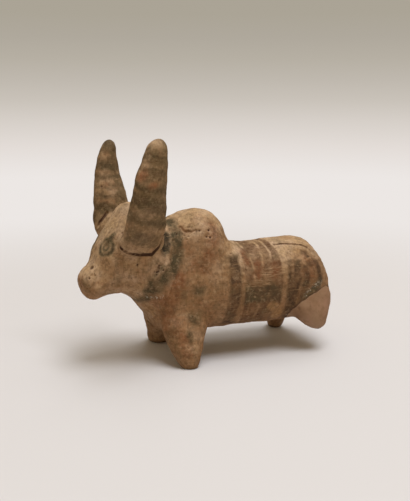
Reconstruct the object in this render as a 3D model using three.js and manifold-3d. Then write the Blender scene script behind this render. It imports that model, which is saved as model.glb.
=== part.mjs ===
// A hand-modelled terracotta zebu: a humped bull about 100 mm long, made of lumps of clay pressed together.
//
// The torso is a thick roll of clay. The hump, the head with its neck, and three conical legs are lumps set
// on it, and two tapering horns are pressed on the sides of the head. The left hind corner is broken away
// and rebuilt with a filler, which ends in a short stub, so the figure stands on three feet.
//
// Millimetres, +Z up. The animal looks along -X and its left side is -Y. The soles lie on z = 0, and the
// origin is under the middle of the whole figure.

import * as THREE from 'three';
import { mergeVertices } from 'three/addons/utils/BufferGeometryUtils.js';
import Module from 'manifold-3d';

const wasm = await Module();
wasm.setup();

// Sizes of the torso, in the frame whose x = 0 is over the forefeet
const CHEST_X = -12; // foremost point of the chest
const RUMP_X = 60.8; // rearmost point of the rump
const BACK_HEIGHT = 41.3; // top of the back, behind the hump
const BELLY_HEIGHT = 10.2; // underside of the belly
const TORSO_WIDTH = 33;
const WITHERS_RISE = 1.5; // how much higher the back is under the hump

// Sizes of the hump
const HUMP_X = 9; // its highest point
const HUMP_RISE = 13.3; // above the back
const HUMP_FRONT = 16; // from the highest point forwards
const HUMP_BACK = 11.8; // from the highest point backwards
const HUMP_WIDTH = 28; // where it leaves the shoulders

// Sizes of the head, measured forwards from a pivot between the shoulders
const HEAD_PIVOT_X = 2;
const HEAD_TURN = 10; // degrees, towards the animal's left
const MUZZLE_REACH = 38.4;
const BROW_REACH = 32;
const POLL_REACH = 18.5; // the top of the head, between the horns
const POLL_HEIGHT = 58.4;
const NECK_UNDERSIDE = 20.2; // where the neck leaves the chest
const NECK_DROP = 12; // how much lower the neck's top lies at the shoulders than at the poll
const THROAT_SAG = 7.5; // how far the throat hangs below where the neck leaves the chest
const HEAD_WIDTH = 26; // under the horns
const JAW_HEIGHT = 27; // underside of the jaw
const MUZZLE_WIDTH = 14;
const MUZZLE_TOP = 37.6;
const MUZZLE_DEPTH = 12;

// Sizes of the horns
const HORN_ROOT_HEIGHT = 42; // lower edge of the lobe that is pressed on the head
const LEFT_HORN_ROOT = 17; // front to back
const RIGHT_HORN_ROOT = 16;
const HORN_ROOT_THICKNESS = 8.6;
const HORN_STEM_LENGTH = 13.8; // front to back, just above the lobe
const HORN_SPREAD = 41; // between the tips' middles
const LEFT_HORN_LEAN = 2.9; // how far the tip lies behind the root
const RIGHT_HORN_LEAN = 1.9;
const LEFT_LOBE_LEAD = 2.2; // how far the lobe's lower end lies in front of the poll
const RIGHT_LOBE_LEAD = -0.4;
const HORN_TIP_LENGTH = 6; // front to back, just under the tip
const LEFT_HORN_HEIGHT = 82;
const RIGHT_HORN_HEIGHT = 79.6;
const RIGHT_HORN_SLENDERNESS = 0.8; // its thickness near the tip, as a share of the left one's

// Sizes of the legs
const LEFT_FORE_SOLE = [1.4, -16.8]; // middles of the soles, x and y
const RIGHT_FORE_SOLE = [-0.6, 17.6];
const RIGHT_HIND_SOLE = [51.4, 21];
const LEFT_FORELEG_X = 1; // middles of the legs' roots
const RIGHT_FORELEG_X = 0.5;
const HINDLEG_X = 50.5;
const FORELEG_ROOT = 18; // front to back, where the leg leaves the chest
const HINDLEG_ROOT = 13;
const LEG_WIDTH = 13;
const LEG_INSET = 5; // how far inside the torso's side the middle of a leg's root lies
const FORE_SOLE_WIDTH = 8.6;
const HIND_SOLE_WIDTH = 7.4;
const SOLE_CUT = 1.2; // the round end of a leg that is pressed flat

// Sizes of the filler
const STUB_TIP = [53.6, -13]; // x and y
const STUB_HEIGHT = 8.2; // above the ground
const STUB_WIDTH = 5; // just above its tip
const STUB_LENGTH = 20.4; // from its root inside the torso to its tip
const STUB_SLANT = 4; // how far the tip lies behind the root
const STUB_ROOT_WIDTH = 14;
const STUB_ROOT_LENGTH = 18.4; // front to back
const BREAK_X = 31.4; // where the break meets the belly on the left side
const BREAK_HEIGHT = 26.5; // where the break meets the end of the rump
const BREAK_DIP = 36; // degrees, how steeply the break dips towards the right side

const JOINT_GAP = 0.3; // between two lumps

const point = (x, y, z) => new THREE.Vector3(x, y, z);
const SIDEWAYS = point(0, 1, 0);
const BACKWARDS = point(1, 0, 0);
const UPWARDS = point(0, 0, 1);
const DOWNWARDS = point(0, 0, -1);

// Solids

function solidOf(geometry) {
  const bare = geometry.clone();
  bare.deleteAttribute('normal');
  bare.deleteAttribute('uv');
  const merged = mergeVertices(bare, 1e-4);
  return new wasm.Manifold(
    new wasm.Mesh({
      numProp: 3,
      vertProperties: merged.attributes.position.array,
      triVerts: new Uint32Array(merged.index.array),
    }),
  );
}

function geometryOf(solid) {
  const mesh = solid.getMesh();
  const geometry = new THREE.BufferGeometry();
  geometry.setAttribute('position', new THREE.BufferAttribute(mesh.vertProperties, 3));
  geometry.setIndex(new THREE.BufferAttribute(mesh.triVerts, 1));
  geometry.computeVertexNormals();
  return geometry;
}

// How wide a rounded end is, as a share of the full section, at a distance from its tip.
function roundedEnd(distance, round) {
  if (distance >= round) return 1;
  return Math.sqrt(Math.max(0, 1 - (1 - distance / round) ** 2));
}

// A lump of clay: a sphere drawn out along a spine. Each station gives the spine's point, half the section's
// size sideways and half its size across that, and every section stays square to `run`. `square` above 2
// flattens the section's sides, and `grow` makes the lump larger all round, to cut a neighbour clear of it.
function lump({ stations, run, sideways, startRound, endRound, segments, rings, square = 2 }, grow = 0) {
  const spine = new THREE.CatmullRomCurve3(stations.map((s) => s.at));
  const sizes = new THREE.CatmullRomCurve3(stations.map((s) => point(s.half, s.rise, 0)));
  const across = new THREE.Vector3().crossVectors(run, sideways);
  const length = spine.getLength();
  const geometry = new THREE.SphereGeometry(1, segments, rings);
  const position = geometry.attributes.position;
  const unit = new THREE.Vector3();
  for (let i = 0; i < position.count; i++) {
    unit.fromBufferAttribute(position, i);
    const along = ((1 - unit.y) / 2) * (length + 2 * grow) - grow;
    const inside = THREE.MathUtils.clamp(along, 0, length);
    const t = spine.getUtoTmapping(inside / length);
    const size = sizes.getPoint(t);
    const full =
      roundedEnd(along + grow, startRound + grow) * roundedEnd(length + grow - along, endRound + grow);
    const radial = Math.hypot(unit.x, unit.z);
    const bulge = (value) =>
      radial < 1e-6 ? 0 : Math.sign(value) * Math.abs(value / radial) ** (2 / square);
    const placed = spine.getPoint(t).addScaledVector(run, along - inside);
    placed.addScaledVector(sideways, bulge(unit.x) * (size.x + grow) * full);
    placed.addScaledVector(across, bulge(unit.z) * (size.y + grow) * full);
    position.setXYZ(i, placed.x, placed.y, placed.z);
  }
  return solidOf(geometry);
}

// A station of a lump that runs level, from the heights of its top and underside.
const station = (at, top, bottom, half) => ({ at: at((top + bottom) / 2), half, rise: (top - bottom) / 2 });
const onTorso = (x) => (z) => point(x, 0, z);

// The torso: a roll of clay, a little higher at the withers and falling away at the rump
const torsoHalf = TORSO_WIDTH / 2;
const torsoShape = {
  stations: [
    station(onTorso(CHEST_X), BACK_HEIGHT - 6, BELLY_HEIGHT + 1.5, torsoHalf - 2),
    station(onTorso(-3), BACK_HEIGHT + WITHERS_RISE - 0.5, BELLY_HEIGHT, torsoHalf - 0.5),
    station(onTorso(HUMP_X - 1), BACK_HEIGHT + WITHERS_RISE, BELLY_HEIGHT - 0.2, torsoHalf),
    station(onTorso(HUMP_X + 11), BACK_HEIGHT + WITHERS_RISE / 2, BELLY_HEIGHT - 0.2, torsoHalf - 0.2),
    station(onTorso(RUMP_X - 33), BACK_HEIGHT - 0.5, BELLY_HEIGHT, torsoHalf - 0.5),
    station(onTorso(RUMP_X - 17), BACK_HEIGHT + 0.4, BELLY_HEIGHT + 0.6, torsoHalf - 0.7),
    station(onTorso(RUMP_X - 10), BACK_HEIGHT, BELLY_HEIGHT + 1, torsoHalf - 0.7),
    station(onTorso(RUMP_X - 5), BACK_HEIGHT - 2.6, BELLY_HEIGHT + 1.5, torsoHalf - 1),
    station(onTorso(RUMP_X), BACK_HEIGHT - 6, BELLY_HEIGHT + 3, torsoHalf - 1.5),
  ],
  run: BACKWARDS,
  sideways: SIDEWAYS,
  startRound: 7.5,
  endRound: 9,
  segments: 40,
  rings: 34,
  square: 2.2,
};

// The hump: a knob that rises gently behind the neck and falls steeply to the back
const humpBase = (BACK_HEIGHT + BELLY_HEIGHT) / 2; // inside the torso, so that its sides come down steeply
const humpHalf = HUMP_WIDTH / 2;
const humpTop = BACK_HEIGHT + HUMP_RISE;
const humpShape = {
  stations: [
    station(onTorso(HUMP_X - HUMP_FRONT), humpTop - 5, humpBase + 1, humpHalf - 3),
    station(onTorso(HUMP_X - HUMP_FRONT * 0.65), humpTop - 2.6, humpBase, humpHalf - 1),
    station(onTorso(HUMP_X - HUMP_FRONT * 0.3), humpTop - 0.6, humpBase, humpHalf),
    station(onTorso(HUMP_X), humpTop, humpBase, humpHalf),
    station(onTorso(HUMP_X + HUMP_BACK * 0.4), humpTop - 1.1, humpBase, humpHalf - 0.6),
    station(onTorso(HUMP_X + HUMP_BACK * 0.68), humpTop - 4.2, humpBase, humpHalf - 1.8),
    station(onTorso(HUMP_X + HUMP_BACK * 0.84), humpTop - 8.4, humpBase, humpHalf - 3),
    station(onTorso(HUMP_X + HUMP_BACK), BACK_HEIGHT + 0.7, humpBase, humpHalf - 4.5),
  ],
  run: BACKWARDS,
  sideways: SIDEWAYS,
  startRound: 5,
  endRound: 1.5,
  segments: 32,
  rings: 22,
};

// The head and neck: one lump, turned a little to the left, that narrows to a blunt muzzle
const turn = THREE.MathUtils.degToRad(HEAD_TURN);
const forwards = point(-Math.cos(turn), -Math.sin(turn), 0);
const headSide = point(-Math.sin(turn), Math.cos(turn), 0); // towards the animal's right
const onHead = (reach, right) => (z) =>
  point(HEAD_PIVOT_X, 0, z).addScaledVector(forwards, reach).addScaledVector(headSide, right);
const headHalf = HEAD_WIDTH / 2;
const muzzleHalf = MUZZLE_WIDTH / 2;
const muzzleBottom = MUZZLE_TOP - MUZZLE_DEPTH;
const throat = (share) => NECK_UNDERSIDE - THROAT_SAG * share;
const headShape = {
  stations: [
    station(onHead(POLL_REACH * 0.08, 0), POLL_HEIGHT - NECK_DROP, NECK_UNDERSIDE, headHalf - 2.2),
    station(onHead(POLL_REACH * 0.35, 0), POLL_HEIGHT - NECK_DROP * (2 / 3), throat(2 / 3), headHalf - 1),
    station(onHead(POLL_REACH * 0.54, 0), POLL_HEIGHT - NECK_DROP * (5.5 / 12), throat(1), headHalf - 0.3),
    station(onHead(POLL_REACH * 0.78, 0), POLL_HEIGHT - NECK_DROP / 6, JAW_HEIGHT - 8.3, headHalf),
    station(onHead(POLL_REACH, 0), POLL_HEIGHT, JAW_HEIGHT - 3.2, headHalf),
    station(onHead(POLL_REACH + 3.5, 0), POLL_HEIGHT - 1.4, JAW_HEIGHT - 0.6, headHalf - 0.8),
    station(onHead(BROW_REACH - 7, 0), POLL_HEIGHT - 5.2, JAW_HEIGHT, headHalf - 2.4),
    station(onHead(BROW_REACH - 3, 0), POLL_HEIGHT - 10.4, JAW_HEIGHT - 0.5, headHalf - 4.2),
    station(onHead(BROW_REACH - 0.6, 0), POLL_HEIGHT - 14.8, muzzleBottom + 0.4, headHalf - 5.2),
    station(onHead(BROW_REACH + 1, 0), MUZZLE_TOP + 1.6, muzzleBottom, muzzleHalf + 0.4),
    station(onHead(BROW_REACH + 3, 0), MUZZLE_TOP - 0.2, muzzleBottom, muzzleHalf),
    station(onHead(MUZZLE_REACH, 0), MUZZLE_TOP - 0.8, muzzleBottom + 1, muzzleHalf - 0.4),
  ],
  run: forwards,
  sideways: headSide,
  startRound: 6,
  endRound: 5.2,
  segments: 36,
  rings: 38,
  square: 2.15,
};

// A horn: a broad lobe pressed on the side of the head, then an upright cone that leans out to a blunt tip
function hornShape({ side, tipHeight, rootLength, slenderness, lean, lobeLead }) {
  const root = rootLength / 2;
  const thick = HORN_ROOT_THICKNESS / 2;
  const stem = HORN_STEM_LENGTH / 2;
  const tip = HORN_TIP_LENGTH / 2;
  const tipRight = HORN_SPREAD / 2;
  const tipReach = POLL_REACH + 1 - lean;
  const height = (share) => THREE.MathUtils.lerp(POLL_HEIGHT, tipHeight, share);
  const place = (reach, right, z, half, rise) => ({ at: onHead(reach, side * right)(z), half, rise });
  const slim = (share, size) => size * THREE.MathUtils.lerp(1, slenderness, share);
  return {
    stations: [
      place(POLL_REACH + lobeLead, headHalf - 1.7, HORN_ROOT_HEIGHT, thick - 1.6, root - 1),
      place(POLL_REACH + lobeLead / 3 + 0.6, headHalf - 1, HORN_ROOT_HEIGHT + 4, thick - 0.6, root),
      place(POLL_REACH + 1, headHalf + 0.3, HORN_ROOT_HEIGHT + 8, thick, root),
      place(POLL_REACH + 0.9, headHalf + 2.3, HORN_ROOT_HEIGHT + 13, thick, stem),
      place(POLL_REACH + 0.7, headHalf + 4, height(0.1), slim(0.4, thick - 0.1), slim(0.2, stem - 0.7)),
      place(tipReach + lean * 0.8, tipRight - 1.4, height(0.45), slim(0.8, thick - 0.6), slim(0.8, stem - 1.5)),
      place(tipReach + lean * 0.45, tipRight - 0.5, height(0.72), slim(1, thick - 1.2), slim(1, stem - 2.8)),
      place(tipReach, tipRight, tipHeight, slim(1, tip - 0.6), slim(1, tip)),
    ],
    run: UPWARDS,
    sideways: headSide,
    startRound: 3,
    endRound: 3.6,
    segments: 30,
    rings: 28,
  };
}

const leftHorn = {
  side: -1,
  tipHeight: LEFT_HORN_HEIGHT,
  rootLength: LEFT_HORN_ROOT,
  slenderness: 1,
  lean: LEFT_HORN_LEAN,
  lobeLead: LEFT_LOBE_LEAD,
};
const rightHorn = {
  side: 1,
  tipHeight: RIGHT_HORN_HEIGHT,
  rootLength: RIGHT_HORN_ROOT,
  slenderness: RIGHT_HORN_SLENDERNESS,
  lean: RIGHT_HORN_LEAN,
  lobeLead: RIGHT_LOBE_LEAD,
};

// A leg: a stubby cone drawn down from the torso's side to a small flat sole
function legShape([soleX, soleY], rootX, rootLength, soleWidth) {
  const side = Math.sign(soleY);
  const rootY = side * (torsoHalf - LEG_INSET);
  const y = (share) => THREE.MathUtils.lerp(rootY, soleY, share);
  const x = (share) => THREE.MathUtils.lerp(rootX, soleX, share);
  const rise = (share) => THREE.MathUtils.lerp(rootLength, soleWidth, share) / 2;
  const half = (share) => THREE.MathUtils.lerp(LEG_WIDTH, soleWidth, share) / 2;
  return {
    stations: [
      { at: point(rootX, rootY - side * 4, BELLY_HEIGHT + 17), half: half(-0.1), rise: rise(-0.15) },
      { at: point(rootX, rootY - side * 0.3, BELLY_HEIGHT + 5), half: half(0), rise: rise(0) },
      { at: point(x(0.3) - 0.3, y(0.35), BELLY_HEIGHT - 0.8), half: half(0.2), rise: rise(0.5) },
      { at: point(x(0.5) - 0.3, y(0.7), BELLY_HEIGHT - 5.4), half: half(0.55), rise: rise(0.82) },
      { at: point(soleX, soleY, -SOLE_CUT), half: half(1), rise: rise(1) },
    ],
    run: DOWNWARDS,
    sideways: SIDEWAYS,
    startRound: 6,
    endRound: 3.4,
    segments: 30,
    rings: 22,
  };
}

// The left hind stub of the filler: a broad lobe that stops short of the ground
function stubShape() {
  const [tipX, tipY] = STUB_TIP;
  const rootY = -(torsoHalf - 6.5);
  const rootHalf = STUB_ROOT_WIDTH / 2;
  const rootRise = STUB_ROOT_LENGTH / 2;
  const x = (share) => tipX - STUB_SLANT * share;
  const z = (share) => STUB_HEIGHT + STUB_LENGTH * share;
  return {
    stations: [
      { at: point(x(0.9), rootY + 1, z(1)), half: rootHalf - 0.5, rise: rootRise + 0.3 },
      { at: point(x(0.8), rootY, z(0.52)), half: rootHalf, rise: rootRise },
      { at: point(x(0.4), (rootY + tipY) / 2, z(0.24)), half: rootHalf - 1, rise: rootRise - 3 },
      { at: point(tipX, tipY, STUB_HEIGHT), half: STUB_WIDTH / 2, rise: STUB_WIDTH / 2 },
    ],
    run: DOWNWARDS,
    sideways: SIDEWAYS,
    startRound: 6,
    endRound: 3,
    segments: 30,
    rings: 20,
  };
}

// The corner that broke away: everything under a slope that rises from the belly to the end of the rump on
// the left side and dips towards the right side, moved up by a gap.
function brokenCorner(gap) {
  const size = 90;
  const slope = Math.atan2(BREAK_HEIGHT - BELLY_HEIGHT, RUMP_X - BREAK_X);
  const block = new THREE.BoxGeometry(size, size, size);
  block.translate(0, 0, -size / 2 + gap);
  block.rotateX(-THREE.MathUtils.degToRad(BREAK_DIP));
  block.rotateY(-slope);
  block.translate(BREAK_X, -torsoHalf + 3, BELLY_HEIGHT);
  return solidOf(block);
}

function below(height) {
  const size = 300;
  const block = new THREE.BoxGeometry(size, size, size);
  block.translate(0, 0, height - size / 2);
  return solidOf(block);
}

// Assembly

const ground = below(0);
const wholeTorso = lump(torsoShape);
const torsoClear = lump(torsoShape, JOINT_GAP);
const head = lump(headShape).subtract(torsoClear);
const headClear = lump(headShape, JOINT_GAP);
const hump = lump(humpShape).subtract(torsoClear).subtract(headClear);
const torso = wholeTorso.subtract(brokenCorner(JOINT_GAP));
const horn = (sizes) => lump(hornShape(sizes)).subtract(headClear);
const leg = (...sizes) => lump(legShape(...sizes)).subtract(torsoClear).subtract(headClear).subtract(ground);
const filler = wholeTorso.add(lump(stubShape())).intersect(brokenCorner(0));

const clay = { color: 0xa07c5c, roughness: 0.9, metalness: 0 };
const horned = { color: 0x6f5a45, roughness: 0.88, metalness: 0 };
const repair = { color: 0xb4917b, roughness: 0.85, metalness: 0 };

const figurine = new THREE.Group();
function addPiece(name, solid, finish) {
  const mesh = new THREE.Mesh(geometryOf(solid), new THREE.MeshStandardMaterial(finish));
  mesh.name = name;
  figurine.add(mesh);
}

addPiece('torso', torso, clay);
addPiece('hump', hump, clay);
addPiece('head', head, clay);
addPiece('left_horn', horn(leftHorn), horned);
addPiece('right_horn', horn(rightHorn), horned);
addPiece('left_foreleg', leg(LEFT_FORE_SOLE, LEFT_FORELEG_X, FORELEG_ROOT, FORE_SOLE_WIDTH), clay);
addPiece('right_foreleg', leg(RIGHT_FORE_SOLE, RIGHT_FORELEG_X, FORELEG_ROOT, FORE_SOLE_WIDTH), clay);
addPiece('right_hind_leg', leg(RIGHT_HIND_SOLE, HINDLEG_X, HINDLEG_ROOT, HIND_SOLE_WIDTH), clay);
addPiece('left_hind_filler', filler, repair);

// The origin goes under the middle of the figure.
const box = new THREE.Box3().setFromObject(figurine);
const middle = box.getCenter(new THREE.Vector3());
figurine.position.set(-middle.x, -middle.y, -box.min.z);

export default figurine;
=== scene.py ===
"""A hand-modelled terracotta zebu with painted bands, seen from its left side on a pale paper sweep.

The frame is the CAD part's: +Z up, the animal looks along -X, its left side is -Y and its soles are on
z = 0. Blender works in metres. The functions that shape the clay and place the paint work in millimetres.
Places on the head are given in the head's own directions instead, for both of its sides at once: the reach
forwards of the shoulders, the offset to the side and the height.
"""

import math
from typing import NamedTuple

import bmesh
import bpy
import numpy as np
from mathutils import Euler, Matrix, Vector, noise
from mathutils.bvhtree import BVHTree
from mathutils.kdtree import KDTree


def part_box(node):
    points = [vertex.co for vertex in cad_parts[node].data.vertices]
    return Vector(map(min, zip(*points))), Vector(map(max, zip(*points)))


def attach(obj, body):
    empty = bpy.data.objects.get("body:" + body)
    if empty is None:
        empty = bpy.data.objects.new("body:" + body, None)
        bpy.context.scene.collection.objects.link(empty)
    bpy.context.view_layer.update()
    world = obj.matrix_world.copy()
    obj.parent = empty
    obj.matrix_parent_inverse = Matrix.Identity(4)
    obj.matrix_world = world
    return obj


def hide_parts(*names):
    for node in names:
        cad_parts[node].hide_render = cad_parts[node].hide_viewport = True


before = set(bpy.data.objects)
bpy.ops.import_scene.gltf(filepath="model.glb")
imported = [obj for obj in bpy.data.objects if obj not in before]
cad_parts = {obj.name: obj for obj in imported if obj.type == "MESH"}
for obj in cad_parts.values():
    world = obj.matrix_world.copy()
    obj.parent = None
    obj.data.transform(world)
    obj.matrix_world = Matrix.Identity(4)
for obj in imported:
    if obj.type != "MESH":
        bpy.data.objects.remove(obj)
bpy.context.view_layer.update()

MM = 0.001
FAR = 1e3  # farther than anything here, in millimetres
NODES = [
    "torso",
    "hump",
    "head",
    "left_horn",
    "right_horn",
    "left_foreleg",
    "right_foreleg",
    "right_hind_leg",
    "left_hind_filler",
]
SLOTS = {node: "painted_clay" for node in NODES}
SLOTS.update(left_horn="horn_clay", right_horn="horn_clay", left_hind_filler="repair_filler")

# The head is turned a little to the animal's left
HEAD_TURN = math.radians(10)
HEAD_PIVOT = np.array([-10.43, 0.99, 0.0])
HEAD_FORWARDS = np.array([-math.cos(HEAD_TURN), -math.sin(HEAD_TURN), 0.0])
HEAD_RIGHTWARDS = np.array([-math.sin(HEAD_TURN), math.cos(HEAD_TURN), 0.0])


# Meshes


def mesh_of(shape, name):
    mesh = bpy.data.meshes.new(name)
    shape.to_mesh(mesh)
    shape.free()
    return mesh


def add_object(data, name):
    item = bpy.data.objects.new(name, data)
    bpy.context.scene.collection.objects.link(item)
    return item


def drop(item):
    mesh = item.data
    bpy.data.objects.remove(item)
    bpy.data.meshes.remove(mesh)


def baked(item, modifier_type, **settings):
    """The item's mesh after one modifier."""
    modifier = item.modifiers.new(modifier_type.title(), modifier_type)
    for key, value in settings.items():
        setattr(modifier, key, value)
    depsgraph = bpy.context.evaluated_depsgraph_get()
    result = bpy.data.meshes.new_from_object(item.evaluated_get(depsgraph))
    item.modifiers.remove(modifier)
    return result


def lump(node, grow):
    """A closed copy of a CAD node, grown all round."""
    shape = bmesh.new()
    shape.from_mesh(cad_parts[node].data)
    bmesh.ops.remove_doubles(shape, verts=shape.verts, dist=1e-6)
    shape.normal_update()
    moved = [vertex.co + vertex.normal * (grow * MM) for vertex in shape.verts]
    for vertex, place in zip(shape.verts, moved):
        vertex.co = place
    return shape


def read_rows(items, name, width, kind):
    """A row of values for each item of a mesh."""
    values = np.zeros(len(items) * width, kind)
    items.foreach_get(name, values)
    return values.reshape(-1, width)


def read_points(mesh):
    return read_rows(mesh.vertices, "co", 3, np.float32).astype(float) / MM


def write_points(mesh, points):
    mesh.vertices.foreach_set("co", (points * MM).astype(np.float32).ravel())
    mesh.update()


def read_normals(mesh):
    return read_rows(mesh.vertex_normals, "vector", 3, np.float32).astype(float)


# Distances and places

SEED_STEPS = (17.3, 9.1, 5.7)  # how far the noises of two seeds lie apart
NOISE_GAIN = 1.6


def smooth_step(value):
    value = np.clip(value, 0, 1)
    return value * value * (3 - 2 * value)


def fade(distance, reach, plateau=0.1):
    """1 close by, and 0 from a little beyond the reach. The plateau is a share of the reach."""
    return smooth_step(1 + plateau - distance / reach)


def groove(distance, half_width):
    """1 in the middle of a groove and 0 at its edge."""
    return smooth_step(1 - distance / half_width)


def noise_at(points, size, seed):
    """Smooth noise of about -1 to 1 with lumps of the given size."""
    offset = Vector([seed * step for step in SEED_STEPS])
    return np.array([noise.noise(Vector(p) / size + offset) for p in points]) * NOISE_GAIN


def distance_to_line(points, corners):
    """The distance of each point to a line through the corners."""
    corners = np.array(corners, float)
    best = np.full(len(points), FAR)
    for start, end in zip(corners[:-1], corners[1:]):
        along = end - start
        share = np.clip(((points - start) @ along) / (along @ along), 0, 1)
        gap = np.linalg.norm(points - start - share[:, None] * along, axis=1)
        best = np.minimum(best, gap)
    return best


def strokes(points, lines):
    """How far inside the nearest of some strokes a point lies. A stroke is a line and half its width."""
    return np.max([half_width - distance_to_line(points, line) for line, half_width in lines], axis=0)


def nowhere(points):
    """The depth of a paint that a piece doesn't have."""
    return np.full(len(points), -FAR)


def head_places(points):
    """Each point's reach forwards of the shoulders, its offset to either side and its height."""
    offset = points - HEAD_PIVOT
    return np.stack([offset @ HEAD_FORWARDS, np.abs(offset @ HEAD_RIGHTWARDS), points[:, 2]], axis=1)


# The skin: all the lumps as one surface, smeared together where they meet. Sizes are in millimetres.

OVERLAP = 0.2  # how far each lump grows so that its neighbours fuse with it
SKIN_STEP = 0.36  # spacing of the skin's vertices
# Takes the edges off the skin's facets. The swell keeps the volume.
EVENING = {"rounds": 24, "shrink": 0.6, "swell": -0.62}
# How far from a junction the clay is smeared smooth
SMEAR_REACH = {
    "hump": 8.0,
    "head": 6.0,
    "left_horn": 1.6,
    "right_horn": 1.6,
    "left_foreleg": 5.0,
    "right_foreleg": 5.0,
    "right_hind_leg": 4.0,
    "left_hind_filler": 3.0,
}
SMEAR_PLATEAU = 0.15
SMEAR_ROUNDS = 130
BROAD_SMEAR_ROUNDS = 650  # for the broad slopes: the hump's flanks, the muzzle's root, the horns' fronts
HUMP_FLANK_REACH = 11.0
SPINE_HALF_WIDTH = 5.0  # the hump's rear edge across the spine stays crisp
SPINE_BLEND = 4.0
# On the head: where the muzzle runs into the cheeks, and where a horn's front runs into the forehead
MUZZLE_ROOT = (32.6, 6.6, 36.0)
MUZZLE_SMEAR = 6.5
HORN_FRONT = [(27.5, 12.0, 50.5), (26.6, 11.5, 54.0), (24.6, 9.5, 57.5)]
HORN_FRONT_SMEAR = 3.6
# The nose's flat front: a point on it and the direction it faces, by reach and height
NOSE_FRONT = (38.7, 32.5)
NOSE_FACES = (0.934, -0.358)
NOSE_ROUNDING = 0.5  # the pressing begins this far behind the flat
NOSE_PRESSED = 0.75  # the share of what stands out that is pressed in
# Legs drawn in towards their soles: the sole's middle, by how much, up to what height and how far around
LEG_TAPERS = [((38.8, 21.4), 0.2, 10.0, 12.0), ((-10.7, -15.5), 0.2, 6.5, 8.0)]


def smoothed(points, edges, weight, rounds, shrink=0.5, swell=0.0):
    """Moves each point towards the mean of its neighbours. A swell after each step keeps the volume."""
    first, second = edges[:, 0], edges[:, 1]
    count = len(points)
    degree = np.bincount(first, minlength=count) + np.bincount(second, minlength=count)
    factors = [factor for factor in (shrink, swell) if factor != 0]
    points = points.copy()
    for factor in factors * rounds:
        for axis in range(3):
            column = points[:, axis]
            total = np.bincount(first, column[second], count) + np.bincount(second, column[first], count)
            points[:, axis] = column + (total / degree - column) * weight * factor
    return points


def node_distances(points, reach):
    """The distance of each point to each CAD node's surface, where it is within reach."""
    found = {}
    for node in NODES:
        shape = lump(node, 0)
        tree = BVHTree.FromBMesh(shape)
        shape.free()
        low, high = (np.array(corner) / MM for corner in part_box(node))
        near = np.flatnonzero(np.all((points > low - reach) & (points < high + reach), axis=1))
        distance = np.full(len(points), FAR)
        for index in near:
            hit = tree.find_nearest(Vector(points[index] * MM), reach * MM)
            if hit[3] is not None:
                distance[index] = hit[3] / MM
        found[node] = distance
    return found


def junction_weight(distances, node, reach):
    """1 where a node meets any other, and 0 further from there than the reach."""
    others = np.min([distances[other] for other in NODES if other != node], axis=0)
    apart = np.maximum(distances[node], others) - OVERLAP
    return fade(apart, reach, SMEAR_PLATEAU)


def broad_smear_weight(points, distances):
    """The hump's flanks, the muzzle's root and the horns' fronts, which run into the body in long slopes."""
    beside_spine = smooth_step((np.abs(points[:, 1] - HEAD_PIVOT[1]) - SPINE_HALF_WIDTH) / SPINE_BLEND)
    flank = junction_weight(distances, "hump", HUMP_FLANK_REACH) * beside_spine
    on_head = head_places(points)
    muzzle = fade(np.linalg.norm(on_head - MUZZLE_ROOT, axis=1), MUZZLE_SMEAR)
    horn_front = fade(distance_to_line(on_head, HORN_FRONT), HORN_FRONT_SMEAR)
    return np.max([flank, muzzle, horn_front], axis=0)


def smeared(points, edges):
    distances = node_distances(points, HUMP_FLANK_REACH)
    weights = [junction_weight(distances, node, reach) for node, reach in SMEAR_REACH.items()]
    points = smoothed(points, edges, broad_smear_weight(points, distances), BROAD_SMEAR_ROUNDS)
    return smoothed(points, edges, np.max(weights, axis=0), SMEAR_ROUNDS)


def tapered_legs(points):
    """Draws the right hind leg and the left foreleg in towards their soles."""
    for sole, amount, height, reach in LEG_TAPERS:
        share = smooth_step(1 - points[:, 2] / height) * amount
        offset = points[:, :2] - sole
        near = np.linalg.norm(offset, axis=1) < reach
        points[:, :2] -= offset * (share * near)[:, None]
    return points


def flattened_nose(points):
    """Presses the front of the muzzle almost flat."""
    on_head = head_places(points)
    beyond = (on_head[:, [0, 2]] - NOSE_FRONT) @ NOSE_FACES + NOSE_ROUNDING
    pressed = np.where(beyond > 0, beyond * NOSE_PRESSED, 0)
    points -= pressed[:, None] * (HEAD_FORWARDS * NOSE_FACES[0] + (0, 0, NOSE_FACES[1]))
    return points


def fused_skin():
    """All the lumps as one surface, smeared together where they meet."""
    shape = bmesh.new()
    for node in NODES:
        mesh = mesh_of(lump(node, OVERLAP), node + "_grown")
        shape.from_mesh(mesh)
        bpy.data.meshes.remove(mesh)
    lumps = add_object(mesh_of(shape, "lumps"), "lumps")
    skin = add_object(baked(lumps, "REMESH", mode="VOXEL", voxel_size=SKIN_STEP * MM), "skin")
    drop(lumps)
    points = read_points(skin.data)
    edges = read_rows(skin.data.edges, "vertices", 2, np.int32)
    points = smoothed(points, edges, np.ones(len(points)), **EVENING)
    points = tapered_legs(flattened_nose(smeared(points, edges)))
    write_points(skin.data, points)
    return skin


# Marks in the clay, in millimetres

# The maker's uneven pressing: height, size and seed of each layer of noise
PRESSING = [(0.3, 11, 1), (0.19, 4.5, 2), (0.07, 1.7, 3)]
# On the head: the ridge of the collar behind the cheeks, and the hollow between it and the horn's lobe
NECK_RIDGE = [(8.4, 10.6, 48.5), (8.4, 11.6, 43.5), (9.6, 12.7, 38.7), (12.3, 13.4, 35.6), (15.2, 13.2, 33.0)]
HOLLOW = [(9.4, 10.0, 47.6), (9.6, 10.6, 45.0), (10.8, 11.3, 43.0)]
RUMP_CORNER = [(46.5, -9.0, 25.5), (46.0, -10.5, 20.5)]
# A line, how far it stands out and how far around
HEAD_FORMS = [(NECK_RIDGE, 0.55, 1.5), (HOLLOW, -0.8, 2.4)]
BODY_FORMS = [(RUMP_CORNER, 0.6, 7.0)]

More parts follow.
